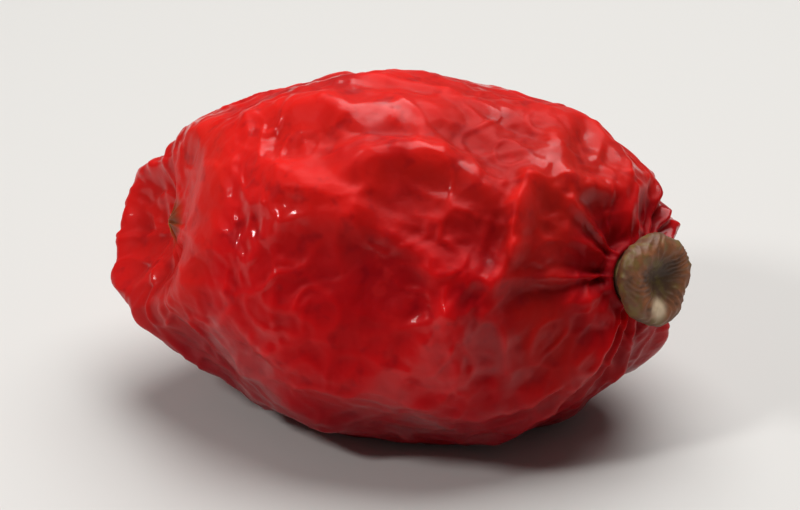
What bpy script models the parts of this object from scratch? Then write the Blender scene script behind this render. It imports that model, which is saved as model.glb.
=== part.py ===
"""A plump dried barberry lying on its side: the wrinkled fruit, and the stigma on its tip.

The fruit is a turned form with a dimple where the stalk was and a plain socket at the tip.
Drying is laid over that form: pressed hollows, long folds, pleats round both ends and a net
of fine crests. Then both ends lean a little to one side, and a small flat spot is pressed
into the belly, on which the fruit rests. X runs from the stalk end to the stigma.
"""

import math

import bmesh
import bpy
from mathutils import Matrix, Vector, noise

MM = 0.001
UP = Vector((0.0, 0.0, 1.0))
ALONG = Vector((1.0, 0.0, 0.0))

# Fruit before drying, a turned form with blunt ends
HALF_LENGTH = 3.96 * MM
HALF_WIDTH = 2.72 * MM
HALF_HEIGHT = 2.58 * MM
TIP_BLUNTNESS = 0.76
STALK_BLUNTNESS = 1.04
TIP_SINK = 0.20 * MM
TIP_SINK_REACH = 0.75 * MM
DIMPLE_SINK = 0.95 * MM
DIMPLE_REACH = 0.95 * MM
DIMPLE_RIM_RISE = 0.20 * MM
DIMPLE_RIM_RADIUS = 1.42 * MM
DIMPLE_RIM_WIDTH = 0.32 * MM
SCAR_RISE = 0.18 * MM
SCAR_REACH = 0.28 * MM

# Plain round socket in the tip, in which the style stands
SOCKET_RADIUS = 0.42 * MM
SOCKET_DEPTH = 0.34 * MM
SOCKET_COLLAR = 0.62 * MM

# How finely the fruit is turned
RINGS = 58
SEGMENTS = 90
OUTLINE_SAMPLES = 600
MERGE_DISTANCE = 0.0001 * MM

# Folds left by drying: size of the cells between crests, then the crests' own width and
# height. The seed fixes how the pattern is stirred, because Blender would else take it from
# the clock, and the shift picks which stretch of the endless pattern this berry has.
STIR_SEED = 6
STIR_CELL = 1.9 * MM
STIR = 0.42 * MM
FOLD_CELL = 1.70 * MM
FOLD_STRETCH = 0.42
FOLD_SHIFT = Vector((21.93, 11.31, 15.57)) * MM
FOLD_WIDTH = 0.36 * MM
FOLD_HEIGHT = 0.15 * MM
FOLD_SINK = 0.075 * MM
NET_CELL = 0.95 * MM
NET_STRETCH = 0.55
NET_WIDTH = 0.17 * MM
NET_HEIGHT = 0.045 * MM
SWELL_CELL = 2.6 * MM
SWELL_HEIGHT = 0.20 * MM

# The longest folds one by one: where each starts and ends, as x and the angle round the
# fruit from +Y over the top, then its width and height
LONG_FOLDS = (
    (-2.60 * MM, 96, -0.90 * MM, 101, 0.26 * MM, 0.13 * MM),
    (-2.20 * MM, 126, -0.25 * MM, 138, 0.28 * MM, 0.15 * MM),
    (-0.40 * MM, 122, 1.00 * MM, 115, 0.28 * MM, 0.12 * MM),
    (-3.00 * MM, 92, -3.20 * MM, 148, 0.26 * MM, 0.12 * MM),
    (2.72 * MM, 114, 2.90 * MM, 142, 0.20 * MM, 0.16 * MM),
    (2.85 * MM, 148, 2.40 * MM, 168, 0.22 * MM, 0.15 * MM),
    (2.70 * MM, 86, 3.55 * MM, 110, 0.22 * MM, 0.13 * MM),
    (1.10 * MM, 154, 1.80 * MM, 174, 0.24 * MM, 0.11 * MM),
    (-1.90 * MM, -150, -0.60 * MM, -140, 0.34 * MM, 0.12 * MM),
    (-1.60 * MM, 20, 0.90 * MM, 34, 0.32 * MM, 0.14 * MM),
    (0.60 * MM, -16, 2.60 * MM, -34, 0.30 * MM, 0.13 * MM),
)

# Hollows pressed in by neighbours: x, angle as above, reach and depth
HOLLOWS = (
    (1.90 * MM, 96, 0.95 * MM, 0.32 * MM),
    (2.35 * MM, 140, 0.62 * MM, 0.12 * MM),
    (-0.80 * MM, 30, 1.30 * MM, 0.28 * MM),
    (1.40 * MM, -40, 1.10 * MM, 0.24 * MM),
)

# Pleats that run in to the two ends, their drift round it and how uneven they are
TIP_PLEATS = 15
TIP_PLEAT_DEPTH = 0.12 * MM
TIP_PLEAT_REACH = 1.45 * MM
STALK_PLEATS = 11
STALK_PLEAT_DEPTH = 0.06 * MM
STALK_PLEAT_REACH = 1.3 * MM
PLEAT_DRIFT = 0.55
PLEAT_DRIFT_TURNS = 1.7
PLEAT_SOFTNESS = 0.12
PLEAT_UNEVENNESS = 0.9
PLEAT_PATCHES = 1.3

# Both ends lean: the angle they reach, how far from the middle it is reached, and which way
TIP_LEAN = math.radians(40)
STALK_LEAN = math.radians(46)
LEAN_SPAN = 3.9 * MM
TIP_LEAN_WAY = Vector((0.0, -0.90, 0.42)).normalized()
STALK_LEAN_WAY = Vector((0.0, -0.72, 0.70)).normalized()
LEAN_STEPS = 24

# Flat spot on the belly
REST_DEPTH = 0.13 * MM
REST_CALM = 1.25 * MM

# Stigma: a dry button with a dished top, on a short round style
STYLE_RADIUS = 0.38 * MM
STYLE_FOOT = 0.30 * MM
STYLE_HEIGHT = 0.14 * MM
BRIM_RADIUS = 0.47 * MM
BRIM_ROUND = 0.20 * MM
BRIM_HEIGHT = 0.40 * MM
BRIM_ARC_START = -70
BRIM_ARC_SWEEP = 170
DISH_DEPTH = 0.17 * MM
STIGMA_SEGMENTS = 40
ARC_STEPS = 8
BUTTON_WAVES = ((3, 0.045, 0.6), (5, 0.030, 2.1), (8, 0.018, 4.0))

FRUIT_RED = (0.42, 0.006, 0.010, 1.0)
STIGMA_BROWN = (0.17, 0.10, 0.035, 1.0)


def bell(distance, reach):
    """One at no distance, falling smoothly to nothing some way past the reach."""
    return math.exp(-((distance / reach) ** 2))


def smooth_step(low, high, value):
    """Zero below low, one above high, and a smooth rise between them."""
    share = min(1.0, max(0.0, (value - low) / (high - low)))
    return share * share * (3.0 - 2.0 * share)


def outline_point(turn):
    """The fruit's plain outline as (x, radius), from the tip at 0 to the stalk end at 1."""
    along = math.cos(math.pi * turn)
    across = max(0.0, math.sin(math.pi * turn))
    if along > 0.0:
        radius = HALF_HEIGHT * across**TIP_BLUNTNESS
        x = HALF_LENGTH * along**TIP_BLUNTNESS
        return x - TIP_SINK * bell(radius, TIP_SINK_REACH), radius
    radius = HALF_HEIGHT * across**STALK_BLUNTNESS
    x = -HALF_LENGTH * (-along) ** STALK_BLUNTNESS
    x += DIMPLE_SINK * bell(radius, DIMPLE_REACH) - SCAR_RISE * bell(radius, SCAR_REACH)
    x -= DIMPLE_RIM_RISE * bell(radius - DIMPLE_RIM_RADIUS, DIMPLE_RIM_WIDTH)
    return x, radius


def evenly_spaced(points, count):
    """The same outline with count points at equal distances along it."""
    lengths = [0.0]
    for before, after in zip(points, points[1:]):
        lengths.append(lengths[-1] + math.dist(before, after))
    spaced = []
    place = 0
    for i in range(count):
        wanted = lengths[-1] * i / (count - 1)
        while place < len(points) - 2 and lengths[place + 1] < wanted:
            place += 1
        share = (wanted - lengths[place]) / (lengths[place + 1] - lengths[place])
        x = points[place][0] + share * (points[place + 1][0] - points[place][0])
        radius = points[place][1] + share * (points[place + 1][1] - points[place][1])
        spaced.append((x, radius))
    return spaced


def fruit_profile():
    """The socket's floor and wall, then the outline from the socket's mouth to the scar."""
    fine = [outline_point(i / OUTLINE_SAMPLES) for i in range(OUTLINE_SAMPLES + 1)]
    skin = [(x, radius) for x, radius in fine if x < 0.0 or radius > SOCKET_RADIUS]
    skin[0] = (skin[0][0], SOCKET_RADIUS)
    skin[-1] = (skin[-1][0], 0.0)
    floor = skin[0][0] - SOCKET_DEPTH
    return [(floor, 0.0), (floor, SOCKET_RADIUS)] + evenly_spaced(skin, RINGS)


def socket_mouth():
    """Where the socket opens, along X on the straight fruit."""
    return fruit_profile()[2][0]


def turned(name, profile, segments, collection):
    """A profile of (x, radius) points turned about X into a closed shape."""
    outline = bpy.data.meshes.new(name + "_outline")
    points = [(x, 0.0, radius) for x, radius in profile]
    edges = [(i, i + 1) for i in range(len(points) - 1)]
    outline.from_pydata(points, edges, [])
    thing = bpy.data.objects.new(name, outline)
    collection.objects.link(thing)
    screw = thing.modifiers.new("Turn", "SCREW")
    screw.axis = "X"
    screw.steps = segments
    screw.render_steps = segments
    screw.use_merge_vertices = True
    screw.merge_threshold = MERGE_DISTANCE
    evaluated = thing.evaluated_get(bpy.context.evaluated_depsgraph_get())
    solid = bpy.data.meshes.new_from_object(evaluated)
    thing.modifiers.clear()
    thing.data = solid
    solid.name = name
    bpy.data.meshes.remove(outline)
    return thing


def closed_outwards(mesh):
    """Weld the poles and turn every face outwards."""
    shape = bmesh.new()
    shape.from_mesh(mesh)
    bmesh.ops.remove_doubles(shape, verts=shape.verts, dist=MERGE_DISTANCE)
    bmesh.ops.recalc_face_normals(shape, faces=shape.faces)
    shape.to_mesh(mesh)
    shape.free()
    mesh.shade_smooth()


def crest(place, cell, width):
    """One on the borders between cells of that size, falling off across that width."""
    nearest, second = noise.voronoi(place / cell)[0][:2]
    return bell((second - nearest) * cell, width)


def offset_round(place, x, degrees):
    """The way from a spot on the skin to the place, along the fruit and round it."""
    angle = math.atan2(place.z, place.y) - math.radians(degrees)
    angle = math.remainder(angle, math.tau)
    return Vector((place.x - x, angle * math.hypot(place.y, place.z)))


def long_folds(place):
    """The height that the long folds add at a place."""
    height = 0.0
    radius = math.hypot(place.y, place.z)
    for start_x, start_angle, end_x, end_angle, width, rise in LONG_FOLDS:
        from_start = offset_round(place, start_x, start_angle)
        run = Vector((end_x - start_x, math.radians(end_angle - start_angle) * radius))
        share = min(1.0, max(0.0, from_start.dot(run) / run.length_squared))
        height += rise * bell((from_start - run * share).length, width)
    return height


def hollows(place):
    """The depth that the pressed hollows take away at a place."""
    spots = [(offset_round(place, x, angle), reach, depth) for x, angle, reach, depth in HOLLOWS]
    return sum(depth * bell(offset.length, reach) for offset, reach, depth in spots)


def pleats(place, count, depth, reach, drift):
    """Furrows fanned round the X axis, deeper and longer on some sides than on others."""
    around = Vector((0.0, place.y, place.z)).normalized()
    strength = 1.0 + PLEAT_UNEVENNESS * noise.noise(around * PLEAT_PATCHES - drift)
    angle = math.atan2(place.z, place.y)
    angle += PLEAT_DRIFT * noise.noise(around * PLEAT_DRIFT_TURNS + drift)
    wave = math.sin(0.5 * count * angle)
    fade = bell(HALF_LENGTH - abs(place.x), reach * strength)
    return -depth * strength * fade * math.sqrt(wave * wave + PLEAT_SOFTNESS)


def end_pleats(place):
    """The pleats round the stigma and round the stalk's scar, each fading towards the middle."""
    if place.x > 0.0:
        return pleats(place, TIP_PLEATS, TIP_PLEAT_DEPTH, TIP_PLEAT_REACH, ALONG)
    return pleats(place, STALK_PLEATS, STALK_PLEAT_DEPTH, STALK_PLEAT_REACH, UP)


def relief(place):
    """How far drying has raised or sunk the skin at a place on the turned form."""
    stirred = place + noise.noise_vector(place / STIR_CELL) * STIR
    drawn = Vector((stirred.x * FOLD_STRETCH, stirred.y, stirred.z)) + FOLD_SHIFT
    height = FOLD_HEIGHT * crest(drawn, FOLD_CELL, FOLD_WIDTH) - FOLD_SINK
    netted = Vector((stirred.x * NET_STRETCH, stirred.y, stirred.z)) + FOLD_SHIFT
    height += NET_HEIGHT * crest(netted, NET_CELL, NET_WIDTH)
    height += SWELL_HEIGHT * noise.noise(place / SWELL_CELL)
    return height + long_folds(place) - hollows(place) + end_pleats(place)


def stillness(place):
    """Zero where the skin keeps its turned form, at the socket and on the resting spot."""
    belly = Vector((0.0, 0.0, -HALF_HEIGHT))
    still = 1.0 - bell((place - belly).length, REST_CALM)
    if place.x > 0.0:
        still *= smooth_step(SOCKET_RADIUS, SOCKET_COLLAR, math.hypot(place.y, place.z))
    return still


def widened(place):
    """The round section made a little wider than it is high, except close to the axis."""
    share = min(1.0, math.hypot(place.y, place.z) / HALF_HEIGHT)
    stretch = 1.0 + (HALF_WIDTH / HALF_HEIGHT - 1.0) * share * share
    return Vector((place.x, place.y * stretch, place.z))


def dried(place):
    """A place on the turned form moved along the skin's normal to where drying left it."""
    normal = Vector((place.x / HALF_LENGTH**2, place.y / HALF_WIDTH**2, place.z / HALF_HEIGHT**2))
    return widened(place) + normal.normalized() * relief(place) * stillness(place)


def lean_angle(x):
    """How far the axis has turned aside at x along it."""
    most = TIP_LEAN if x > 0.0 else STALK_LEAN
    return most * min(1.0, abs(x) / LEAN_SPAN) ** 2


def axis_frame(x):
    """The leaning axis at x: the point on it, and the turn of the section there."""
    forward = ALONG if x > 0.0 else -ALONG
    aside = TIP_LEAN_WAY if x > 0.0 else STALK_LEAN_WAY
    point = Vector()
    step = abs(x) / LEAN_STEPS
    for i in range(LEAN_STEPS):
        angle = lean_angle(x * (i + 0.5) / LEAN_STEPS)
        point += (forward * math.cos(angle) + aside * math.sin(angle)) * step
    return point, Matrix.Rotation(lean_angle(x), 3, forward.cross(aside))


def leaned(place):
    """A place on the straight fruit, carried along as the two ends lean."""
    point, turn = axis_frame(place.x)
    return point + turn @ Vector((0.0, place.y, place.z))


def press_flat(mesh):
    """Press the lowest skin into a small flat spot."""
    level = min(vertex.co.z for vertex in mesh.vertices) + REST_DEPTH
    for vertex in mesh.vertices:
        vertex.co.z = max(level, vertex.co.z)


def make_fruit(collection):
    """The whole fruit, lying on its belly."""
    fruit = turned("fruit", fruit_profile(), SEGMENTS, collection)
    closed_outwards(fruit.data)
    for vertex in fruit.data.vertices:
        vertex.co = leaned(dried(vertex.co))
    press_flat(fruit.data)
    return fruit


def stigma_profile():
    """Up the style, out under the brim, round it, and down into the dish."""
    points = [(-STYLE_FOOT, 0.0), (-STYLE_FOOT, STYLE_RADIUS), (STYLE_HEIGHT, STYLE_RADIUS)]
    for i in range(ARC_STEPS + 1):
        angle = math.radians(BRIM_ARC_START + BRIM_ARC_SWEEP * i / ARC_STEPS)
        height = BRIM_HEIGHT + BRIM_ROUND * math.sin(angle)
        points.append((height, BRIM_RADIUS + BRIM_ROUND * math.cos(angle)))
    top, inner = points[-1]
    for i in range(1, ARC_STEPS + 1):
        share = i / ARC_STEPS
        points.append((top - DISH_DEPTH * smooth_step(0.0, 1.0, share), inner * (1.0 - share)))
    return points


def button_swing(place):
    """How much wider or narrower than round the dry button is, on that side."""
    angle = math.atan2(place.z, place.y)
    swing = sum(size * math.sin(count * angle + phase) for count, size, phase in BUTTON_WAVES)
    return 1.0 + swing * smooth_step(STYLE_HEIGHT, BRIM_HEIGHT, place.x)


def make_stigma(collection):
    """The stigma on its style, standing straight up in the socket at the leaning tip."""
    stigma = turned("stigma", stigma_profile(), STIGMA_SEGMENTS, collection)
    closed_outwards(stigma.data)
    for vertex in stigma.data.vertices:
        swing = button_swing(vertex.co)
        vertex.co = (vertex.co.x, vertex.co.y * swing, vertex.co.z * swing)
    point, turn = axis_frame(socket_mouth())
    stigma.matrix_world = Matrix.Translation(point) @ turn.to_4x4()
    return stigma


def painted(thing, name, colour, roughness):
    """Give a thing its own plain material."""
    material = bpy.data.materials.new(name)
    material.use_nodes = True
    shader = material.node_tree.nodes["Principled BSDF"]
    shader.inputs["Base Color"].default_value = colour
    shader.inputs["Roughness"].default_value = roughness
    shader.inputs["Metallic"].default_value = 0.0
    thing.data.materials.clear()
    thing.data.materials.append(material)


def stand_at_origin(things):
    """Hang the things on an empty that brings the middle of their underside to the origin."""
    bpy.context.view_layer.update()
    corners = [thing.matrix_world @ vertex.co for thing in things for vertex in thing.data.vertices]
    low = Vector([min(corner[i] for corner in corners) for i in range(3)])
    high = Vector([max(corner[i] for corner in corners) for i in range(3)])
    anchor = bpy.data.objects.new("barberry", None)
    things[0].users_collection[0].objects.link(anchor)
    for thing in things:
        thing.parent = anchor
    anchor.location = (-(low.x + high.x) / 2, -(low.y + high.y) / 2, -low.z)


def main():
    """Clear the scene and build the barberry."""
    noise.seed_set(STIR_SEED)
    for old in list(bpy.data.objects):
        bpy.data.objects.remove(old, do_unlink=True)
    collection = bpy.data.collections.new("barberry")
    bpy.context.scene.collection.children.link(collection)
    fruit = make_fruit(collection)
    stigma = make_stigma(collection)
    painted(fruit, "dried barberry skin", FRUIT_RED, 0.28)
    painted(stigma, "dry stigma", STIGMA_BROWN, 0.6)
    stand_at_origin([fruit, stigma])


if __name__ == "__main__":
    main()
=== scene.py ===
# %% [markdown]
# # A plump dried barberry
#
# One dried barberry, between 8 and 9 mm long, lies on its side on a pale table. The measured
# model has two plain solids, the wrinkled fruit and the stigma on its tip. This lesson gives
# both their real surface: a finer skin and a finer button take the places of the two solids
# and get the finish of dried fruit. All sizes are in metres, X runs from the stalk end to the
# stigma, and Z points up.

# %% Load the measured model
import math

import bmesh
import bpy
from mathutils import Matrix, Vector, noise


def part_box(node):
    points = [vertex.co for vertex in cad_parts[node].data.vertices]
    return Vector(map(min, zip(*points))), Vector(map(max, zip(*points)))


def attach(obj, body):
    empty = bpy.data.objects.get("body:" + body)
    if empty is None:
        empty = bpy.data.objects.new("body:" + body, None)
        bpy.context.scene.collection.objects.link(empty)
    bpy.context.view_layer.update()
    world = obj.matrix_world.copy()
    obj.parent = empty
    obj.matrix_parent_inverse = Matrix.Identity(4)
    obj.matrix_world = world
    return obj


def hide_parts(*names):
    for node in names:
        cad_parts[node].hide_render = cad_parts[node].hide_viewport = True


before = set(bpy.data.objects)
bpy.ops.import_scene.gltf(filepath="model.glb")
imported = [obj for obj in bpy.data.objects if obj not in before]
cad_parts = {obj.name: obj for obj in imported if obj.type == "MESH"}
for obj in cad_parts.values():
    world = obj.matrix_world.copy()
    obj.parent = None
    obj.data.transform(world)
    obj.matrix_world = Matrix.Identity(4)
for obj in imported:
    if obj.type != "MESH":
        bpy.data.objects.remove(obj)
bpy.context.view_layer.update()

MM = 0.001

# %% [markdown]
# ## Bells and smooth steps
#
# The folds of a dried skin are smooth hills and furrows. They could be painted by hand in
# sculpt mode, but then no size could be read or changed later. Here each one is a formula
# made of two curves: a bell that is one at its middle and fades out, and a smooth step from
# one value to another. With names for them, each fold below stays readable.

# %% Two curves for every fold
UP = Vector((0.0, 0.0, 1.0))
ALONG = Vector((1.0, 0.0, 0.0))


def bell(distance, reach):
    """One at no distance, falling smoothly to nothing some way past the reach."""
    return math.exp(-((distance / reach) ** 2))


def smooth_step(low, high, value):
    """Zero below low, one above high, and a smooth rise between them."""
    share = min(1.0, max(0.0, (value - low) / (high - low)))
    return share * share * (3.0 - 2.0 * share)


print("a bell at its reach:", round(bell(1.0, 1.0), 2))
print("a smooth step half-way:", smooth_step(0.0, 1.0, 0.5))

# %% [markdown]
# ## The fruit's plain form
#
# Before it dried the fruit was a blunt egg, nearly round in section. It could start as a
# stretched sphere, but a sphere has pointed poles and no dimple. A turned outline gives the
# blunt ends, the dimple where the stalk was and the little hollow round the stigma in one
# curve. Its points are worked out from powers of sine and cosine, with bells for the dimple,
# its swollen rim and the stalk's scar.

# %% Outline of the plain form
HALF_LENGTH = 3.96 * MM
HALF_WIDTH = 2.72 * MM
HALF_HEIGHT = 2.58 * MM
TIP_BLUNTNESS = 0.76
STALK_BLUNTNESS = 1.04
TIP_SINK = 0.20 * MM
TIP_SINK_REACH = 0.75 * MM
DIMPLE_SINK = 0.95 * MM
DIMPLE_REACH = 0.95 * MM
DIMPLE_RIM_RISE = 0.20 * MM
DIMPLE_RIM_RADIUS = 1.42 * MM
DIMPLE_RIM_WIDTH = 0.32 * MM
SCAR_RISE = 0.18 * MM
SCAR_REACH = 0.28 * MM


def outline_point(turn):
    """The fruit's plain outline as (x, radius), from the tip at 0 to the stalk end at 1."""
    along = math.cos(math.pi * turn)
    across = max(0.0, math.sin(math.pi * turn))
    if along > 0.0:
        radius = HALF_HEIGHT * across**TIP_BLUNTNESS
        x = HALF_LENGTH * along**TIP_BLUNTNESS
        return x - TIP_SINK * bell(radius, TIP_SINK_REACH), radius
    radius = HALF_HEIGHT * across**STALK_BLUNTNESS
    x = -HALF_LENGTH * (-along) ** STALK_BLUNTNESS
    x += DIMPLE_SINK * bell(radius, DIMPLE_REACH) - SCAR_RISE * bell(radius, SCAR_REACH)
    x -= DIMPLE_RIM_RISE * bell(radius - DIMPLE_RIM_RADIUS, DIMPLE_RIM_WIDTH)
    return x, radius


print("stalk end at x, mm:", round(outline_point(1.0)[0] / MM, 2))

# %% [markdown]
# ## Even spacing and the socket
#
# The stigma's short neck stands in a plain round socket, so the outline starts on the
# socket's floor. The powers above crowd their points at the ends, which would make slivers
# and wrinkle badly. Walking along a very fine outline and keeping points at equal distances
# gives faces of one size all over the fruit.

# %% Even outline of the skin
SOCKET_RADIUS = 0.42 * MM
SOCKET_DEPTH = 0.34 * MM
SOCKET_COLLAR = 0.62 * MM
OUTLINE_SAMPLES = 1200
SKIN_RINGS = 240


def evenly_spaced(points, count):
    """The same outline with count points at equal distances along it."""
    lengths = [0.0]
    for before, after in zip(points, points[1:]):
        lengths.append(lengths[-1] + math.dist(before, after))
    spaced = []
    place = 0
    for i in range(count):
        wanted = lengths[-1] * i / (count - 1)
        while place < len(points) - 2 and lengths[place + 1] < wanted:
            place += 1
        share = (wanted - lengths[place]) / (lengths[place + 1] - lengths[place])
        x = points[place][0] + share * (points[place + 1][0] - points[place][0])
        radius = points[place][1] + share * (points[place + 1][1] - points[place][1])
        spaced.append((x, radius))
    return spaced


def skin_outline():
    """The socket's floor and wall, then the outline from the socket's mouth to the scar."""
    fine = [outline_point(i / OUTLINE_SAMPLES) for i in range(OUTLINE_SAMPLES + 1)]
    skin = [(x, radius) for x, radius in fine if x < 0.0 or radius > SOCKET_RADIUS]
    skin[0] = (skin[0][0], SOCKET_RADIUS)
    skin[-1] = (skin[-1][0], 0.0)
    floor = skin[0][0] - SOCKET_DEPTH
    return [(floor, 0.0), (floor, SOCKET_RADIUS)] + evenly_spaced(skin, SKIN_RINGS)


OUTLINE = skin_outline()
SOCKET_MOUTH = OUTLINE[2][0]
print("outline points:", len(OUTLINE), " socket mouth at x, mm:", round(SOCKET_MOUTH / MM, 2))

# %% [markdown]
# ## Spinning an outline
#
# Both pieces are round at heart, so both are spun from an outline. Spin with use_merge joins
# the last ring to the first, and a weld closes the two poles. The normals are recalculated
# once the shape is closed, because a spin can turn it inside out.

# %% Spin the skin
SKIN_SEGMENTS = 340
WELD = 0.00005 * MM


def spun(name, outline, segments):
    """A closed mesh object: the outline of (x, radius) points spun round X."""
    shape = bmesh.new()
    corners = [shape.verts.new((x, 0.0, radius)) for x, radius in outline]
    edges = [shape.edges.new(pair) for pair in zip(corners, corners[1:])]
    bmesh.ops.spin(
        shape,
        geom=corners + edges,
        cent=(0.0, 0.0, 0.0),
        axis=ALONG,
        angle=math.tau,
        steps=segments,
        use_merge=True,
    )
    bmesh.ops.remove_doubles(shape, verts=shape.verts, dist=WELD)
    bmesh.ops.recalc_face_normals(shape, faces=shape.faces)
    mesh = bpy.data.meshes.new(name)
    shape.to_mesh(mesh)
    shape.free()
    mesh.shade_smooth()
    thing = bpy.data.objects.new(name, mesh)
    bpy.context.scene.collection.objects.link(thing)
    print(name, "faces:", len(mesh.polygons))
    return thing


skin = spun("barberry_skin", OUTLINE, SKIN_SEGMENTS)

# %% [markdown]
# ## Buckled skin
#
# As the pulp shrinks the skin keeps its area, so it buckles into smooth dents with narrow
# rounded crests between them. The borders between the cells of a Voronoi pattern are just
# such crests. Stirring the pattern with noise takes its straight lines away, and drawing it
# out along the fruit makes the dents as long as real ones. A second, finer net and a slow
# swell keep the dents from looking alike. Blender starts its noise vectors from the clock, so
# the seed is set, or the berry would have other folds on each run.

# %% Crests between the dents
STIR_SEED = 6
STIR_CELL = 1.9 * MM
STIR = 0.42 * MM
FOLD_CELL = 1.70 * MM
FOLD_STRETCH = 0.42
FOLD_SHIFT = Vector((21.93, 11.31, 15.57)) * MM
FOLD_WIDTH = 0.36 * MM
FOLD_HEIGHT = 0.15 * MM
FOLD_SINK = 0.075 * MM
NET_CELL = 0.95 * MM
NET_STRETCH = 0.55
NET_WIDTH = 0.17 * MM
NET_HEIGHT = 0.045 * MM
SWELL_CELL = 2.6 * MM
SWELL_HEIGHT = 0.20 * MM


def crest(place, cell, width):
    """One on the borders between cells of that size, falling off across that width."""
    nearest, second = noise.voronoi(place / cell)[0][:2]
    return bell((second - nearest) * cell, width)


def buckles(place):
    """The height of the crests, the fine net and the slow swell at a place."""
    stirred = place + noise.noise_vector(place / STIR_CELL) * STIR
    drawn = Vector((stirred.x * FOLD_STRETCH, stirred.y, stirred.z)) + FOLD_SHIFT
    height = FOLD_HEIGHT * crest(drawn, FOLD_CELL, FOLD_WIDTH) - FOLD_SINK
    netted = Vector((stirred.x * NET_STRETCH, stirred.y, stirred.z)) + FOLD_SHIFT
    height += NET_HEIGHT * crest(netted, NET_CELL, NET_WIDTH)
    return height + SWELL_HEIGHT * noise.noise(place / SWELL_CELL)


noise.seed_set(STIR_SEED)
print("buckles on top, mm:", round(buckles(UP * HALF_HEIGHT) / MM, 3))

# %% [markdown]
# ## This berry's own folds
#
# A pattern alone would make any barberry. What makes this one are its long folds and the
# hollows that its neighbours pressed into it while it was soft. A sculpt brush would make
# them by hand, but rows can be read and moved. A spot is an x and an angle in degrees round
# the fruit, counted from +Y over the top. The row of a long fold holds the spot where it
# starts, the spot where it ends, its width and its height. The row of a hollow holds its
# spot, its reach and its depth.

# %% Long folds and hollows
LONG_FOLDS = (
    (-2.60 * MM, 96, -0.90 * MM, 101, 0.26 * MM, 0.13 * MM),
    (-2.20 * MM, 126, -0.25 * MM, 138, 0.28 * MM, 0.15 * MM),
    (-0.40 * MM, 122, 1.00 * MM, 115, 0.28 * MM, 0.12 * MM),
    (-3.00 * MM, 92, -3.20 * MM, 148, 0.26 * MM, 0.12 * MM),
    (2.72 * MM, 114, 2.90 * MM, 142, 0.20 * MM, 0.16 * MM),
    (2.85 * MM, 148, 2.40 * MM, 168, 0.22 * MM, 0.15 * MM),
    (2.70 * MM, 86, 3.55 * MM, 110, 0.22 * MM, 0.13 * MM),
    (1.10 * MM, 154, 1.80 * MM, 174, 0.24 * MM, 0.11 * MM),
    (-1.90 * MM, -150, -0.60 * MM, -140, 0.34 * MM, 0.12 * MM),
    (-1.60 * MM, 20, 0.90 * MM, 34, 0.32 * MM, 0.14 * MM),
    (0.60 * MM, -16, 2.60 * MM, -34, 0.30 * MM, 0.13 * MM),
)
HOLLOWS = (
    (1.90 * MM, 96, 0.95 * MM, 0.32 * MM),
    (2.35 * MM, 140, 0.62 * MM, 0.12 * MM),
    (-0.80 * MM, 30, 1.30 * MM, 0.28 * MM),
    (1.40 * MM, -40, 1.10 * MM, 0.24 * MM),
)


def offset_round(place, x, degrees):
    """The way from a spot on the skin to the place, along the fruit and round it."""
    angle = math.atan2(place.z, place.y) - math.radians(degrees)
    angle = math.remainder(angle, math.tau)
    return Vector((place.x - x, angle * math.hypot(place.y, place.z)))


def long_folds(place):
    """The height that the long folds add at a place."""
    height = 0.0
    radius = math.hypot(place.y, place.z)
    for start_x, start_angle, end_x, end_angle, width, rise in LONG_FOLDS:
        from_start = offset_round(place, start_x, start_angle)
        run = Vector((end_x - start_x, math.radians(end_angle - start_angle) * radius))
        share = min(1.0, max(0.0, from_start.dot(run) / run.length_squared))
        height += rise * bell((from_start - run * share).length, width)
    return height


def hollows(place):
    """The depth that the pressed hollows take away at a place."""
    sunk = 0.0
    for x, angle, reach, depth in HOLLOWS:
        sunk += depth * bell(offset_round(place, x, angle).length, reach)
    return sunk


print("long folds:", len(LONG_FOLDS), " hollows:", len(HOLLOWS))

# %% [markdown]
# ## Pleats at both ends
#
# Towards the stigma and towards the stalk's scar the skin has less and less room, so it
# gathers into pleats like a drawn purse. A plain sine wave round the axis would look like a
# pumpkin. Noise makes the pleats drift sideways and gives each side its own depth, and the
# root keeps their valleys narrow and their backs round. Both halves of a sine wave make a
# pleat, so the wave goes round only half as often as there are pleats.

# %% Pleats
TIP_PLEATS = 15
TIP_PLEAT_DEPTH = 0.12 * MM
TIP_PLEAT_REACH = 1.45 * MM
STALK_PLEATS = 11
STALK_PLEAT_DEPTH = 0.06 * MM
STALK_PLEAT_REACH = 1.3 * MM
PLEAT_DRIFT = 0.55
PLEAT_DRIFT_TURNS = 1.7
PLEAT_SOFTNESS = 0.12
PLEAT_UNEVENNESS = 0.9
PLEAT_PATCHES = 1.3


def pleats(place, count, depth, reach, drift):
    """Furrows fanned round the X axis, deeper and longer on some sides than on others."""
    around = Vector((0.0, place.y, place.z)).normalized()
    strength = 1.0 + PLEAT_UNEVENNESS * noise.noise(around * PLEAT_PATCHES - drift)
    angle = math.atan2(place.z, place.y)
    angle += PLEAT_DRIFT * noise.noise(around * PLEAT_DRIFT_TURNS + drift)
    wave = math.sin(0.5 * count * angle)
    fade = bell(HALF_LENGTH - abs(place.x), reach * strength)
    return -depth * strength * fade * math.sqrt(wave * wave + PLEAT_SOFTNESS)


def end_pleats(place):
    """The pleats round the stigma and round the scar, each fading towards the middle."""
    if place.x > 0.0:
        return pleats(place, TIP_PLEATS, TIP_PLEAT_DEPTH, TIP_PLEAT_REACH, ALONG)
    return pleats(place, STALK_PLEATS, STALK_PLEAT_DEPTH, STALK_PLEAT_REACH, UP)


print("pleats at the tip:", TIP_PLEATS, " at the stalk end:", STALK_PLEATS)

# %% [markdown]
# ## Fine wrinkles
#
# Between the folds a real dried skin is crinkled again, a few tenths of a millimetre from
# crest to crest, and it is these wrinkles that break the light into small glints. A bump in
# the material would be cheaper, but it leaves the outline too clean and is lost in the mesh
# that is handed on, so they are moved points here. There are three kinds: a fine net,
# winding creases where a noise passes through zero, and soft pebbles.

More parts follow.
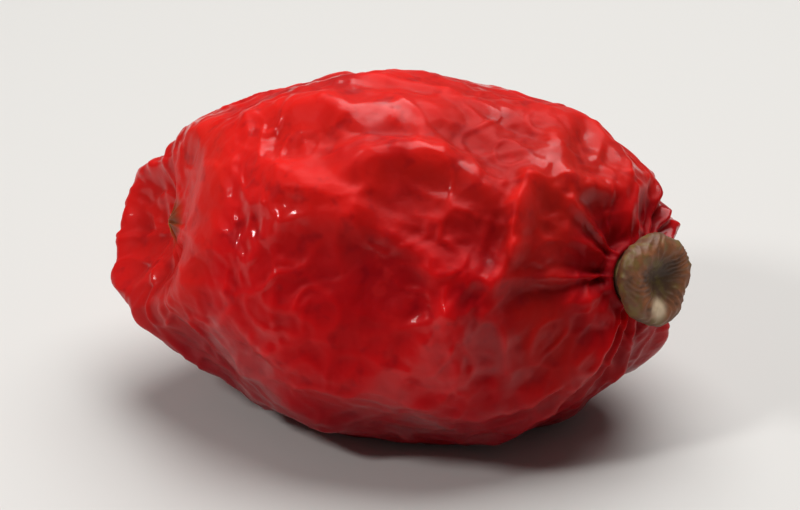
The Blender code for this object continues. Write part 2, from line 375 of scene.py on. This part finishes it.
# %% Net, creases and pebbles
FINE_STIR_CELL = 0.7 * MM
FINE_STIR = 0.16 * MM
FINE_STRETCH = 0.62
FINE_CELL = 0.46 * MM
FINE_WIDTH = 0.085 * MM
FINE_HEIGHT = 0.020 * MM
CREASE_CELL = 0.55 * MM
CREASE_HEIGHT = 0.026 * MM
CREASE_SHARPNESS = 0.10
PEBBLE_CELL = 0.20 * MM
PEBBLE_HEIGHT = 0.014 * MM
PATCH_CELL = 1.6 * MM
PATCH_LEAST = 0.4
PATCH_GAIN = 0.5


def fine_wrinkles(place):
    """The small wrinkles between the folds, stronger in some patches than in others."""
    stirred = place + noise.noise_vector(place / FINE_STIR_CELL) * FINE_STIR
    drawn = Vector((stirred.x * FINE_STRETCH, stirred.y, stirred.z))
    patch = PATCH_LEAST + PATCH_GAIN * (1.0 + noise.noise(place / PATCH_CELL))
    net = FINE_HEIGHT * crest(drawn, FINE_CELL, FINE_WIDTH)
    creases = CREASE_HEIGHT * bell(noise.noise(drawn / CREASE_CELL), CREASE_SHARPNESS)
    return patch * (net + creases) + PEBBLE_HEIGHT * noise.noise(stirred / PEBBLE_CELL)


print("finest wrinkles, mm:", round(PEBBLE_CELL / MM, 2), "from crest to crest")

# %% [markdown]
# ## Where the skin keeps still
#
# The skin has to stay plain in two places: round the socket, so that the stigma's neck fits,
# and on the belly, so that the berry has something to rest on. The relief is multiplied by a
# factor that is zero there and one elsewhere, so it fades out instead of ending at an edge.

# %% Stillness
BELLY = Vector((0.0, 0.0, -HALF_HEIGHT))
REST_CALM = 1.25 * MM


def stillness(place):
    """Zero where the skin keeps its plain form, at the socket and on the resting spot."""
    still = 1.0 - bell((place - BELLY).length, REST_CALM)
    if place.x > 0.0:
        still *= smooth_step(SOCKET_RADIUS, SOCKET_COLLAR, math.hypot(place.y, place.z))
    return still


print("stillness on the belly:", stillness(BELLY), " on top:", stillness(-BELLY))

# %% [markdown]
# ## Leaning ends
#
# A dried fruit is seldom straight. Both ends of this one turn to the same side, the stalk end
# upwards too, so the dimple and the stigma can be seen at once. A Simple Deform modifier
# bends about one axis only and by one even curve. Walking the fruit's axis in small steps
# lets each end lean its own way, ever more towards its end, and every section of the fruit is
# carried along with the axis.

# %% The leaning axis
TIP_LEAN = math.radians(40)
STALK_LEAN = math.radians(46)
LEAN_SPAN = 3.9 * MM
TIP_LEAN_WAY = Vector((0.0, -0.90, 0.42)).normalized()
STALK_LEAN_WAY = Vector((0.0, -0.72, 0.70)).normalized()
WALK_STEP = 0.02 * MM
WALK_STEPS = 250


def lean_angle(x):
    """How far the axis has turned aside at x along it."""
    most = TIP_LEAN if x > 0.0 else STALK_LEAN
    return most * min(1.0, abs(x) / LEAN_SPAN) ** 2


def walked_axis(forward, aside, sign):
    """Points on the leaning axis, one walk step apart, from the middle to past one end."""
    points = [Vector()]
    for i in range(WALK_STEPS):
        angle = lean_angle(sign * (i + 0.5) * WALK_STEP)
        way = forward * math.cos(angle) + aside * math.sin(angle)
        points.append(points[-1] + way * WALK_STEP)
    return points


TIP_AXIS = walked_axis(ALONG, TIP_LEAN_WAY, 1)
STALK_AXIS = walked_axis(-ALONG, STALK_LEAN_WAY, -1)


def axis_frame(x):
    """The leaning axis at x: the point on it, and the turn of the section there."""
    axis, forward, aside = TIP_AXIS, ALONG, TIP_LEAN_WAY
    if x <= 0.0:
        axis, forward, aside = STALK_AXIS, -ALONG, STALK_LEAN_WAY
    steps = abs(x) / WALK_STEP
    whole = min(WALK_STEPS - 1, int(steps))
    point = axis[whole].lerp(axis[whole + 1], steps - whole)
    return point, Matrix.Rotation(lean_angle(x), 3, forward.cross(aside))


def leaned(place):
    """A place on the straight fruit, carried along as the two ends lean."""
    point, turn = axis_frame(place.x)
    return point + turn @ Vector((0.0, place.y, place.z))


print("tip leans to, mm:", [round(value / MM, 2) for value in axis_frame(SOCKET_MOUTH)[0]])

# %% [markdown]
# ## Marks for the finish
#
# The crest mark paints the crests lighter, a painted glow of light through thin skin, and the
# hollows darker, as painted shade. The scar is woody, and the skin is drawn thin in the
# dimple and over the tip's shoulder. The finish needs to know which is which. Painting a mask
# by hand would do, but the formulas above already know every place, so each mark is a number
# from zero to one that the skin's points carry as an attribute.

# %% What each point is
FOLD_MARK_LOW = -0.30 * MM
FOLD_MARK_HIGH = 0.22 * MM
FINE_MARK_WEIGHT = 2.5
SCAR_MARK_REACH = 0.42 * MM
TIP_MARK_REACH = 0.80 * MM
THIN_TIP_RADIUS = 1.75 * MM
THIN_TIP_WIDTH = 0.55 * MM


def marks_of(place, height, fine):
    """How much of a crest, of the scar, of the tip's rim and of thin skin a place is."""
    radius = math.hypot(place.y, place.z)
    at_tip = place.x > 0.0
    past_rim = max(0.0, radius - DIMPLE_RIM_RADIUS)
    thin = bell(past_rim, DIMPLE_RIM_WIDTH)
    if at_tip:
        thin = bell(radius - THIN_TIP_RADIUS, THIN_TIP_WIDTH)
    return {
        # the crest mark gives painted glow on crests and painted shade in hollows
        "crest": smooth_step(FOLD_MARK_LOW, FOLD_MARK_HIGH, height + FINE_MARK_WEIGHT * fine),
        "scar": 0.0 if at_tip else bell(radius, SCAR_MARK_REACH),
        "tip": bell(radius, TIP_MARK_REACH) if at_tip else 0.0,
        "thin": thin,
    }


MARKS = tuple(marks_of(Vector(), 0.0, 0.0))
print("marks:", MARKS)

# %% [markdown]
# ## Drying the skin
#
# Now every point of the spun mesh is moved once: a little wider in section, out or in along
# the plain form's normal by all the relief together, and then along with the leaning axis.
# Doing it in one pass keeps the formulas in the plain form's own x and angle, which is where
# the folds were measured.

# %% Move the skin's points


def relief(place):
    """How far drying has raised or sunk the skin at a place on the plain form."""
    return buckles(place) + long_folds(place) - hollows(place) + end_pleats(place)


def widened(place):
    """The round section made a little wider than it is high, except close to the axis."""
    share = min(1.0, math.hypot(place.y, place.z) / HALF_HEIGHT)
    stretch = 1.0 + (HALF_WIDTH / HALF_HEIGHT - 1.0) * share * share
    return Vector((place.x, place.y * stretch, place.z))


def skin_normal(place):
    """Straight out of the plain form."""
    slope_x = place.x / HALF_LENGTH**2
    slope_y = place.y / HALF_WIDTH**2
    slope_z = place.z / HALF_HEIGHT**2
    return Vector((slope_x, slope_y, slope_z)).normalized()


def dry(mesh):
    """Wrinkle and lean the spun skin, and let its points carry their marks."""
    marks = {name: [] for name in MARKS}
    for vertex in mesh.vertices:
        place = vertex.co.copy()
        height = relief(place)
        fine = fine_wrinkles(place)
        for name, value in marks_of(place, height, fine).items():
            marks[name].append(value)
        moved = widened(place) + skin_normal(place) * (height + fine) * stillness(place)
        vertex.co = leaned(moved)
    for name, values in marks.items():
        mesh.attributes.new(name, "FLOAT", "POINT").data.foreach_set("value", values)


dry(skin.data)
print("dried points:", len(skin.data.vertices))

# %% [markdown]
# ## Setting it down
#
# The measured fruit says where the berry lies: its box gives the middle, and its top gives
# the height. Whatever would then reach below the table is pressed flat against it, which is
# how a soft fruit sits, and which gives the same small resting spot as the measured solid.
# The place goes into the mesh, and the object itself stays at the origin.

# %% Lay the skin where the measured fruit lies
FRUIT_LOW, FRUIT_HIGH = (Vector(corner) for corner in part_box("fruit"))


def corners_of(mesh):
    """The lowest and the highest corner of a mesh's box."""
    low = Vector([min(vertex.co[i] for vertex in mesh.vertices) for i in range(3)])
    high = Vector([max(vertex.co[i] for vertex in mesh.vertices) for i in range(3)])
    return low, high


def resting_shift(mesh):
    """How far the berry has to move to lie where the measured fruit lies."""
    low, high = corners_of(mesh)
    middle = (FRUIT_LOW + FRUIT_HIGH - low - high) / 2
    return Vector((middle.x, middle.y, FRUIT_HIGH.z - high.z))


SHIFT = resting_shift(skin.data)
for vertex in skin.data.vertices:
    vertex.co += SHIFT
    vertex.co.z = max(0.0, vertex.co.z)
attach(skin, "root")
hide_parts("fruit")
print("moved by, mm:", [round(value / MM, 3) for value in SHIFT])

# %% [markdown]
# ## The stigma
#
# At the tip a dry brown button stands on a short neck: the flower's stigma, which stays on
# the fruit. It is round like a turned knob, with a fat rolled brim and a dish in its top. It
# could be modelled from a cylinder with bevels, but an outline of a neck, an arc and a dish
# says the same in a few numbers, and the spin is ready.

# %% Outline of the stigma
STYLE_RADIUS = 0.38 * MM
STYLE_FOOT = 0.30 * MM
STYLE_HEIGHT = 0.14 * MM
BRIM_RADIUS = 0.47 * MM
BRIM_ROUND = 0.20 * MM
BRIM_HEIGHT = 0.40 * MM
BRIM_ARC_START = -70
BRIM_ARC_SWEEP = 170
DISH_DEPTH = 0.17 * MM
NECK_STEPS = 8
ARC_STEPS = 30
DISH_STEPS = 24
STIGMA_SEGMENTS = 180


def stigma_outline():
    """Up the style, out under the brim, round it, and down into the dish."""
    points = [(-STYLE_FOOT, 0.0), (-STYLE_FOOT, STYLE_RADIUS)]
    for i in range(NECK_STEPS + 1):
        points.append((STYLE_HEIGHT * i / NECK_STEPS, STYLE_RADIUS))
    for i in range(ARC_STEPS + 1):
        angle = math.radians(BRIM_ARC_START + BRIM_ARC_SWEEP * i / ARC_STEPS)
        height = BRIM_HEIGHT + BRIM_ROUND * math.sin(angle)
        points.append((height, BRIM_RADIUS + BRIM_ROUND * math.cos(angle)))
    top, inner = points[-1]
    for i in range(1, DISH_STEPS + 1):
        share = i / DISH_STEPS
        points.append((top - DISH_DEPTH * smooth_step(0.0, 1.0, share), inner * (1.0 - share)))
    return points


stigma = spun("stigma_button", stigma_outline(), STIGMA_SEGMENTS)

# %% [markdown]
# ## Drying the stigma
#
# Drying has pulled the button out of round, furrowed it from the dish out over the brim and
# left a crumbly grain on it. Waves round the axis swing each point in or out, each row of
# them with a count round the button, a strength and a phase. The furrows and the grain move
# a point along its own normal. All of it fades out down the neck, which has to stay round
# where it goes into its socket.

# %% Swing, furrow and grain
BUTTON_WAVES = ((3, 0.045, 0.6), (5, 0.030, 2.1), (8, 0.018, 4.0))
FURROW_COUNT = 22
FURROW_DEPTH = 0.020 * MM
FURROW_DRIFT = 0.6
FURROW_DRIFT_CELL = 0.4 * MM
FURROW_START = 0.12 * MM
FURROW_FULL = 0.42 * MM
FURROW_FOOT = 0.5 * STYLE_HEIGHT
CRUMB_CELL = 0.10 * MM
CRUMB_HEIGHT = 0.014 * MM


def button_swing(place):
    """How much wider or narrower than round the dry button is, on that side."""
    angle = math.atan2(place.z, place.y)
    swing = sum(size * math.sin(count * angle + phase) for count, size, phase in BUTTON_WAVES)
    return 1.0 + swing * smooth_step(STYLE_HEIGHT, BRIM_HEIGHT, place.x)


def button_relief(place):
    """Fine furrows over the brim, and a crumbly grain, fading out down the neck."""
    angle = math.atan2(place.z, place.y) + FURROW_DRIFT * noise.noise(place / FURROW_DRIFT_CELL)
    radius = math.hypot(place.y, place.z)
    furrows = -FURROW_DEPTH * abs(math.sin(0.5 * FURROW_COUNT * angle))
    furrows *= smooth_step(FURROW_START, FURROW_FULL, radius)
    shown = smooth_step(FURROW_FOOT, BRIM_HEIGHT, place.x)
    return shown * (furrows + CRUMB_HEIGHT * noise.noise(place / CRUMB_CELL))


print("furrow depth and grain, mm:", round(FURROW_DEPTH / MM, 3), round(CRUMB_CELL / MM, 2))

# %% [markdown]
# ## Standing the stigma in its socket
#
# The button gets two marks for its finish, how near a point is to the crown of the brim and
# how near to the spot on its lower side where a pale painted highlight goes. Then it is
# carried to the socket's mouth and turned with the leaning axis, as the measured stigma is.

# %% Place the stigma
BRIM_MARK_WIDTH = 0.17 * MM
# where the painted highlight sits on the lower side of the brim
PAINTED_GLINT_Y = -0.22 * MM
PAINTED_GLINT_Z = -0.36 * MM
PAINTED_GLINT_REACH = 0.18 * MM


def stand_stigma(thing):
    """Swing, furrow and mark the button, and stand it in the socket at the leaning tip."""
    point, turn = axis_frame(SOCKET_MOUTH)
    marks = {"brim": [], "painted_glint": []}
    normals = [vertex.normal.copy() for vertex in thing.data.vertices]
    for vertex, normal in zip(thing.data.vertices, normals):
        place = vertex.co.copy()
        shown = smooth_step(STYLE_HEIGHT, BRIM_HEIGHT, place.x)
        from_crown = math.hypot(place.y, place.z) - BRIM_RADIUS
        from_painted_glint = math.hypot(place.y - PAINTED_GLINT_Y, place.z - PAINTED_GLINT_Z)
        marks["brim"].append(shown * bell(from_crown, BRIM_MARK_WIDTH))
        marks["painted_glint"].append(shown * bell(from_painted_glint, PAINTED_GLINT_REACH))
        swing = button_swing(place)
        swung = Vector((place.x, place.y * swing, place.z * swing))
        vertex.co = point + turn @ (swung + normal * button_relief(place)) + SHIFT
    for name, values in marks.items():
        thing.data.attributes.new(name, "FLOAT", "POINT").data.foreach_set("value", values)


stand_stigma(stigma)
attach(stigma, "root")
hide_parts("stigma")
STIGMA_LOW, STIGMA_HIGH = corners_of(stigma.data)
print("stigma from, mm:", [round(value / MM, 2) for value in STIGMA_LOW])
print("stigma to, mm:", [round(value / MM, 2) for value in STIGMA_HIGH])

# %% [markdown]
# ## Colours
#
# Colours are picked as sRGB hex, as in any paint program, but a shader counts in linear
# light. One function turns the one into the other by the sRGB standard's curve, which is
# straight below its knee and a power above it. So every colour in this file can be copied
# to and from a colour picker.

# %% From hex to linear
SRGB_KNEE = 0.04045
SRGB_SLOPE = 12.92
SRGB_OFFSET = 0.055
SRGB_POWER = 2.4


def linear(hex_colour):
    """An sRGB hex colour as linear red, green, blue and alpha."""
    channels = []
    for i in (1, 3, 5):
        value = int(hex_colour[i : i + 2], 16) / 255
        if value <= SRGB_KNEE:
            channels.append(value / SRGB_SLOPE)
        else:
            channels.append(((value + SRGB_OFFSET) / (1.0 + SRGB_OFFSET)) ** SRGB_POWER)
    return (*channels, 1.0)


print("a middle grey, linear:", round(linear("#808080")[0], 3))

# %% [markdown]
# ## Nodes
#
# A material is a tree of nodes. In the editor each one is added, set and wired by hand, and
# one function can do those three things here. Everything that differs between nodes stays
# where the node is used, so the finish can be read there.

# %% Add a node, start a material


def add_node(tree, kind, settings=None, values=None, links=None):
    """A new node with its settings, the values of its sockets, and links from other nodes."""
    node = tree.nodes.new(kind)
    for name, value in (settings or {}).items():
        setattr(node, name, value)
    for name, value in (values or {}).items():
        node.inputs[name].default_value = value
    for name, source in (links or {}).items():
        tree.links.new(source, node.inputs[name])
    return node


def start_material(thing, name):
    """A material on a thing, with its node tree and its shader."""
    material = bpy.data.materials.new(name)
    material.use_nodes = True
    thing.data.materials.append(material)
    return material.node_tree, material.node_tree.nodes["Principled BSDF"]


print("nodes are added by", add_node.__name__)

# %% [markdown]
# ## Glazes
#
# Fruit gets its colour in thin layers, and so does a painted one: a base, and over it glazes
# that come in where something else says so, such as a cloud of noise, a mark on the points or
# the height above the table. One long mix tree would do the same but is hard to read. Here
# each glaze is a row: the value that it follows, where it begins, where it is full, how
# strong it gets, and its colour. A mix node has several sockets of one name, so they are
# told apart by their numbers.

# %% Lay glazes over a base
MIX_SHARE, MIX_UNDER, MIX_OVER = 0, 6, 7
MIX_RESULT = 2


def glazed(tree, colour, glazes):
    """A colour with thin glazes over it, each as strong as the value that it follows says."""
    for value, begins, full, most, hex_colour in glazes:
        strength = add_node(
            tree,
            "ShaderNodeMapRange",
            {"interpolation_type": "SMOOTHSTEP"},
            {"From Min": begins, "From Max": full, "To Max": most},
            {"Value": value},
        )
        glaze = add_node(
            tree,
            "ShaderNodeMix",
            {"data_type": "RGBA"},
            {MIX_OVER: linear(hex_colour)},
            {MIX_SHARE: strength.outputs["Result"], MIX_UNDER: colour},
        )
        colour = glaze.outputs[MIX_RESULT]
    return colour


print("a mix node's colour sockets are", MIX_UNDER, "and", MIX_OVER)

# %% [markdown]
# ## Dried barberry skin: what the finish follows
#
# The skin is a waxy film over dark red pulp, grown, then shrunk as it dried. Its colour
# follows the marks on its points, the height above the table, which gives painted light on
# top and painted shade on the belly, slow clouds where the pulp is thicker or thinner, and a
# fine speckle of the pulp's cells seen through the film. The patterns read Object
# coordinates, so their sizes are real ones, and none of them stretches.

# %% Skin: coordinates, marks and patterns
CLOUD_SIZE = 1.8 * MM
CLOUD_DETAIL = 3.0
SPECKLE_SIZE = 0.30 * MM
SPECKLE_DETAIL = 2.0

skin_tree, skin_shader = start_material(skin, "dried barberry skin")
skin_place = add_node(skin_tree, "ShaderNodeTexCoord").outputs["Object"]
skin_split = add_node(skin_tree, "ShaderNodeSeparateXYZ", links={"Vector": skin_place})
skin_height = skin_split.outputs["Z"]
skin_marks = {}
for name in MARKS:
    attribute = add_node(skin_tree, "ShaderNodeAttribute", {"attribute_name": name})
    skin_marks[name] = attribute.outputs["Fac"]
clouds = add_node(
    skin_tree,
    "ShaderNodeTexNoise",
    values={"Scale": 1 / CLOUD_SIZE, "Detail": CLOUD_DETAIL},
    links={"Vector": skin_place},
).outputs["Fac"]
speckle = add_node(
    skin_tree,
    "ShaderNodeTexNoise",
    values={"Scale": 1 / SPECKLE_SIZE, "Detail": SPECKLE_DETAIL},
    links={"Vector": skin_place},
).outputs["Fac"]
print("clouds, mm:", round(CLOUD_SIZE / MM, 2), " speckle, mm:", round(SPECKLE_SIZE / MM, 2))

# %% [markdown]
# ## Dried barberry skin: colour
#
# From crest to hollow the red runs from scarlet to crimson. That is painted light: a painted
# glow on the crests and painted shade in the hollows, for light that shines through a thin
# crest and is lost in a hollow. Over that come a little amber where the skin is thin, a
# painted light of amber on the upper side, higher above the table, rose in the lighter
# clouds, and a deep wine red in the darker ones and round the tip. Down the belly, towards
# the table, the wine red is painted shade. The stalk's scar is brown.

# %% Skin: colour
SKIN_HOLLOW_PAINTED_SHADE = "#94060f"
SKIN_CREST_PAINTED_GLOW = "#d81216"
SKIN_ROSE = "#d82424"
SKIN_AMBER_AND_PAINTED_TOP_LIGHT = "#dc3420"
SKIN_WINE_AND_PAINTED_SHADE = "#6c0414"
SCAR_BROWN = "#6a4020"

# painted glow on the crests and painted shade in the hollows
skin_base = add_node(
    skin_tree,
    "ShaderNodeMix",
    {"data_type": "RGBA"},
    {MIX_UNDER: linear(SKIN_HOLLOW_PAINTED_SHADE), MIX_OVER: linear(SKIN_CREST_PAINTED_GLOW)},
    {MIX_SHARE: skin_marks["crest"]},
).outputs[MIX_RESULT]
skin_colour = glazed(
    skin_tree,
    skin_base,
    (
        (clouds, 0.52, 0.75, 0.20, SKIN_ROSE),
        (skin_marks["thin"], 0.2, 1.0, 0.20, SKIN_AMBER_AND_PAINTED_TOP_LIGHT),
        # painted light: amber on the upper side, higher above the table
        (skin_height, 3.2 * MM, 4.9 * MM, 0.28, SKIN_AMBER_AND_PAINTED_TOP_LIGHT),
        (clouds, 0.48, 0.28, 0.45, SKIN_WINE_AND_PAINTED_SHADE),
        (speckle, 0.55, 0.75, 0.30, SKIN_ROSE),
        (speckle, 0.45, 0.25, 0.35, SKIN_WINE_AND_PAINTED_SHADE),
        # painted shade: wine red darker down the belly, towards the table
        (skin_height, 2.6 * MM, 0.4 * MM, 0.80, SKIN_WINE_AND_PAINTED_SHADE),
        (skin_marks["tip"], 0.3, 0.9, 0.50, SKIN_WINE_AND_PAINTED_SHADE),
        (skin_marks["scar"], 0.35, 0.9, 0.90, SCAR_BROWN),
    ),
)
skin_tree.links.new(skin_colour, skin_shader.inputs["Base Color"])
print("scarlet, linear:", [round(value, 3) for value in linear(SKIN_CREST_PAINTED_GLOW)])

# %% [markdown]
# ## Dried barberry skin: gloss
#
# Juicy plant tissue has an IOR near 1.36. The wax on it is thin, and most of what the skin
# sends back has been through the red below it, so the reflection is tinted. Where juice dried
# on the skin it left a glassy film with the IOR of syrup. That is a coat in patches over the
# duller wax, and it gives the small sharp glints. One roughness for all of it would look like
# plastic, so the wax gets brighter towards the film too.

# %% Skin: gloss
SKIN_IOR = 1.36
WAX_TINT = "#ff7070"
WAX_DULL = 0.50
WAX_DULL_BELOW = 0.3
WAX_BRIGHT = 0.34
WAX_BRIGHT_ABOVE = 0.7
FILM_SIZE = 1.1 * MM
FILM_DETAIL = 4.0
FILM_BEGINS = 0.50
FILM_FULL = 0.62
FILM_MOST = 0.60
FILM_ROUGHNESS = 0.08
FILM_IOR = 1.40

film = add_node(
    skin_tree,
    "ShaderNodeTexNoise",
    values={"Scale": 1 / FILM_SIZE, "Detail": FILM_DETAIL},
    links={"Vector": skin_place},
).outputs["Fac"]
wax_roughness = add_node(
    skin_tree,
    "ShaderNodeMapRange",
    values={
        "From Min": WAX_DULL_BELOW,
        "From Max": WAX_BRIGHT_ABOVE,
        "To Min": WAX_DULL,
        "To Max": WAX_BRIGHT,
    },
    links={"Value": film},
).outputs["Result"]
film_weight = add_node(
    skin_tree,
    "ShaderNodeMapRange",
    {"interpolation_type": "SMOOTHSTEP"},
    {"From Min": FILM_BEGINS, "From Max": FILM_FULL, "To Max": FILM_MOST},
    {"Value": film},
).outputs["Result"]
skin_tree.links.new(wax_roughness, skin_shader.inputs["Roughness"])
skin_tree.links.new(film_weight, skin_shader.inputs["Coat Weight"])
skin_shader.inputs["IOR"].default_value = SKIN_IOR
skin_shader.inputs["Specular Tint"].default_value = linear(WAX_TINT)
skin_shader.inputs["Coat Roughness"].default_value = FILM_ROUGHNESS
skin_shader.inputs["Coat IOR"].default_value = FILM_IOR
print("wax roughness:", WAX_BRIGHT, "to", WAX_DULL)

# %% [markdown]
# ## Dried barberry skin: depth and grain
#
# Held to the light a dried barberry glows: red light travels about half a millimetre through
# the pulp, green and blue hardly at all. Subsurface scattering does that, with its radius in
# those shares. The skin's cells leave a grain of less than a tenth of a millimetre, which is
# too fine for the mesh and comes as a bump.

# %% Skin: depth and grain
PULP_GLOW = 0.5 * MM
PULP_WEIGHT = 0.50
PULP_SHARES = (1.0, 0.12, 0.08)
GRAIN_SIZE = 0.09 * MM
GRAIN_HEIGHT = 0.005 * MM

grain = add_node(
    skin_tree,
    "ShaderNodeTexVoronoi",
    {"feature": "SMOOTH_F1"},
    {"Scale": 1 / GRAIN_SIZE},
    {"Vector": skin_place},
).outputs["Distance"]
grain_bump = add_node(
    skin_tree,
    "ShaderNodeBump",
    values={"Distance": GRAIN_HEIGHT},
    links={"Height": grain},
)
skin_tree.links.new(grain_bump.outputs["Normal"], skin_shader.inputs["Normal"])
skin_shader.inputs["Subsurface Weight"].default_value = PULP_WEIGHT
skin_shader.inputs["Subsurface Radius"].default_value = PULP_SHARES
skin_shader.inputs["Subsurface Scale"].default_value = PULP_GLOW
print("glow, mm:", round(PULP_GLOW / MM, 2), " grain, mm:", round(GRAIN_SIZE / MM, 2))

# %% [markdown]
# ## Dry stigma tissue
#
# The stigma is dead plant tissue, corky and dull, olive to brown. It is darker down in the
# dish, partly its own darker tone and partly painted shade in the hollow, and a pale cream
# spot on the lower side of the brim is a painted highlight. Cork has no clear gloss, so its
# roughness is above the fruit's, and a fine bump keeps it from looking like clay.

# %% Stigma: colour and surface
STIGMA_DISH_AND_PAINTED_SHADE = "#4e3420"
STIGMA_BRIM = "#965a36"
STIGMA_OLIVE = "#74602a"
STIGMA_SOOT = "#33241a"
STIGMA_PAINTED_HIGHLIGHT = "#f0d4b0"
STIGMA_ROUGHNESS = 0.55
SOOT_SIZE = 0.20 * MM
SOOT_DETAIL = 4.0
CORK_SIZE = 0.05 * MM
CORK_DETAIL = 2.0
CORK_HEIGHT = 0.006 * MM

stigma_tree, stigma_shader = start_material(stigma, "dry stigma tissue")
stigma_place = add_node(stigma_tree, "ShaderNodeTexCoord").outputs["Object"]
stigma_marks = {}
for name in ("brim", "painted_glint"):
    attribute = add_node(stigma_tree, "ShaderNodeAttribute", {"attribute_name": name})
    stigma_marks[name] = attribute.outputs["Fac"]
soot = add_node(
    stigma_tree,
    "ShaderNodeTexNoise",
    values={"Scale": 1 / SOOT_SIZE, "Detail": SOOT_DETAIL},
    links={"Vector": stigma_place},
).outputs["Fac"]
cork = add_node(
    stigma_tree,
    "ShaderNodeTexNoise",
    values={"Scale": 1 / CORK_SIZE, "Detail": CORK_DETAIL},
    links={"Vector": stigma_place},
).outputs["Fac"]
# darker dish: its own darker tone and painted shade in the hollow
stigma_base = add_node(
    stigma_tree,
    "ShaderNodeMix",
    {"data_type": "RGBA"},
    {MIX_UNDER: linear(STIGMA_DISH_AND_PAINTED_SHADE), MIX_OVER: linear(STIGMA_BRIM)},
    {MIX_SHARE: stigma_marks["brim"]},
).outputs[MIX_RESULT]
stigma_colour = glazed(
    stigma_tree,
    stigma_base,
    (
        (soot, 0.52, 0.34, 0.65, STIGMA_OLIVE),
        (soot, 0.52, 0.72, 0.60, STIGMA_SOOT),
        # painted highlight: a pale cream spot on the lower side of the brim
        (stigma_marks["painted_glint"], 0.2, 0.9, 0.90, STIGMA_PAINTED_HIGHLIGHT),
    ),
)
cork_bump = add_node(
    stigma_tree,
    "ShaderNodeBump",
    values={"Distance": CORK_HEIGHT},
    links={"Height": cork},
)
stigma_tree.links.new(stigma_colour, stigma_shader.inputs["Base Color"])
stigma_tree.links.new(cork_bump.outputs["Normal"], stigma_shader.inputs["Normal"])
stigma_shader.inputs["Roughness"].default_value = STIGMA_ROUGHNESS
print("cork grain, mm:", round(CORK_SIZE / MM, 2))

# %% [markdown]
# ## Table
#
# The berry lies on a plain pale table top. It is a single large face, far wider than the
# view, so its edge is never seen. White laminate is a pressed melamine sheet with a slight
# sheen, so its roughness is middling, and the berry has a shadow there but no mirror image.

# %% Table
TABLE_HALF_WIDTH = 0.5
TABLE_WHITE = "#d8d6d2"
TABLE_ROUGHNESS = 0.6

shape = bmesh.new()
bmesh.ops.create_grid(shape, x_segments=1, y_segments=1, size=TABLE_HALF_WIDTH)
table_mesh = bpy.data.meshes.new("table")
shape.to_mesh(table_mesh)
shape.free()
table = bpy.data.objects.new("table", table_mesh)
bpy.context.scene.collection.objects.link(table)
table_shader = start_material(table, "white laminate")[1]
table_shader.inputs["Base Color"].default_value = linear(TABLE_WHITE)
table_shader.inputs["Roughness"].default_value = TABLE_ROUGHNESS
print("table's half width, m:", TABLE_HALF_WIDTH)

# %% [markdown]
# ## Light
#
# A berry this small needs small lamps close by. A wide softbox above and a little behind
# gives the soft modelling and leaves the belly dark, and a small window in front on the left
# draws glints on the crests. With the overhead box alone the skin looks dull, and with the
# window alone it looks wet. Both are round, because a square box shows as a square in every
# glossy patch. Each row is a lamp's name, the way to it from the berry, its distance, its
# width and its power in watts. The Standard view transform keeps the reds as saturated as
# they were picked, where a filmic one would fade them to pink.

# %% Softboxes and studio
MIDDLE = Vector((0.0, 0.0, 2.4 * MM))
SOFTBOXES = (
    ("overhead", Vector((0.08, 0.32, 1.0)), 60 * MM, 66 * MM, 0.047),
    ("window", Vector((-0.75, -0.6, 0.85)), 60 * MM, 10 * MM, 0.012),
)
STUDIO_WHITE = "#ffffff"
STUDIO_LIGHT = 0.07

for name, way, distance, size, watts in SOFTBOXES:
    lamp = bpy.data.lights.new(name, "AREA")
    lamp.shape = "DISK"
    lamp.size = size
    lamp.energy = watts
    softbox = bpy.data.objects.new(name, lamp)
    softbox.location = MIDDLE + way.normalized() * distance
    softbox.rotation_euler = (-way).to_track_quat("-Z", "Y").to_euler()
    bpy.context.scene.collection.objects.link(softbox)
studio = bpy.data.worlds.new("studio")
studio.use_nodes = True
background = studio.node_tree.nodes["Background"]
background.inputs["Color"].default_value = linear(STUDIO_WHITE)
background.inputs["Strength"].default_value = STUDIO_LIGHT
bpy.context.scene.world = studio
bpy.context.scene.view_settings.view_transform = "Standard"
print("softboxes:", [row[0] for row in SOFTBOXES])

# %% [markdown]
# ## Camera
#
# The photograph looks down on the berry, a little from the side of its stigma. A long lens,
# more than six times the berry's length away, keeps its shape nearly free of perspective,
# as in the photograph. Clipping has to start at a millimetre, because Blender's default is
# meant for a room and would cut the berry away.

# %% Camera
CAMERA_AZIMUTH = math.radians(10)
CAMERA_ELEVATION = math.radians(28)
CAMERA_LENS = 172
CAMERA_DISTANCE = 56 * MM
CAMERA_CLIP = 1 * MM

lens = bpy.data.cameras.new("camera")
lens.lens = CAMERA_LENS
lens.clip_start = CAMERA_CLIP
camera = bpy.data.objects.new("camera", lens)
flat = math.cos(CAMERA_ELEVATION)
right = math.sin(CAMERA_AZIMUTH) * flat
front = -math.cos(CAMERA_AZIMUTH) * flat
to_camera = Vector((right, front, math.sin(CAMERA_ELEVATION)))
camera.location = MIDDLE + to_camera * CAMERA_DISTANCE
camera.rotation_euler = (-to_camera).to_track_quat("-Z", "Y").to_euler()
bpy.context.scene.collection.objects.link(camera)
bpy.context.scene.camera = camera
print("camera at, mm:", [round(value / MM, 1) for value in camera.location])
